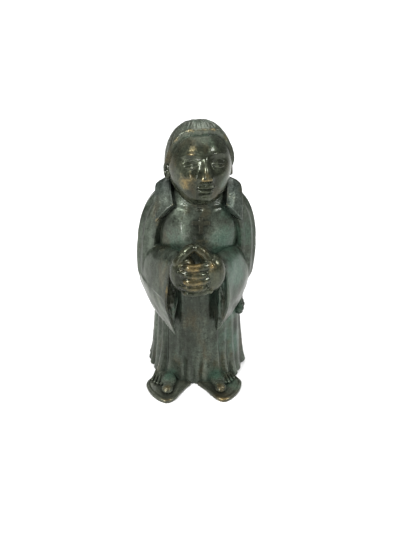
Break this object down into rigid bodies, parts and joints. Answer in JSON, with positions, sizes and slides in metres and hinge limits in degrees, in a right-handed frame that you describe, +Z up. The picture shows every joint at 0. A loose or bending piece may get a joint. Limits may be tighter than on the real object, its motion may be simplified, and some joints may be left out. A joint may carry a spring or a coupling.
{
  "type": "monk statuette",
  "caption": "Small bronze figure of a standing monk in a hooded robe with clasped hands, wide bell sleeves, a breast cross, a rope girdle and sandals.",
  "frame": {"origin": "middle of the figure's footprint, on the floor", "axes": "+Z up, the figure faces -Y, +X to the monk's left"},
  "size_m": [0.0422, 0.0466, 0.1001],
  "materials": {
    "robe_patina": "waxed green-brown bronze patina",
    "cape_patina": "waxed dark green bronze patina",
    "rope_patina": "dark bronze patina",
    "skin_bronze": "brown bronze, rubbed on the high points",
    "worn_bronze": "rubbed brown bronze",
    "pin_bronze": "bare bronze rod"
  },
  "bodies": {
    "root": {"robe_skirt": "robe_patina", "robe_torso": "robe_patina", "right_sleeve": "robe_patina", "left_sleeve": "robe_patina", "shoulder_cape": "cape_patina", "hood": "cape_patina", "girdle_rope": "rope_patina", "girdle_tails": "rope_patina", "head": "skin_bronze", "clasped_hands": "skin_bronze", "right_foot": "skin_bronze", "left_foot": "skin_bronze", "breast_cross": "worn_bronze", "right_sandal": "worn_bronze", "left_sandal": "worn_bronze", "waist_pin": "pin_bronze", "neck_pin": "pin_bronze", "right_arm_pin": "pin_bronze", "left_arm_pin": "pin_bronze", "right_sole_rivet": "pin_bronze", "left_sole_rivet": "pin_bronze"}
  },
  "joints": []
}
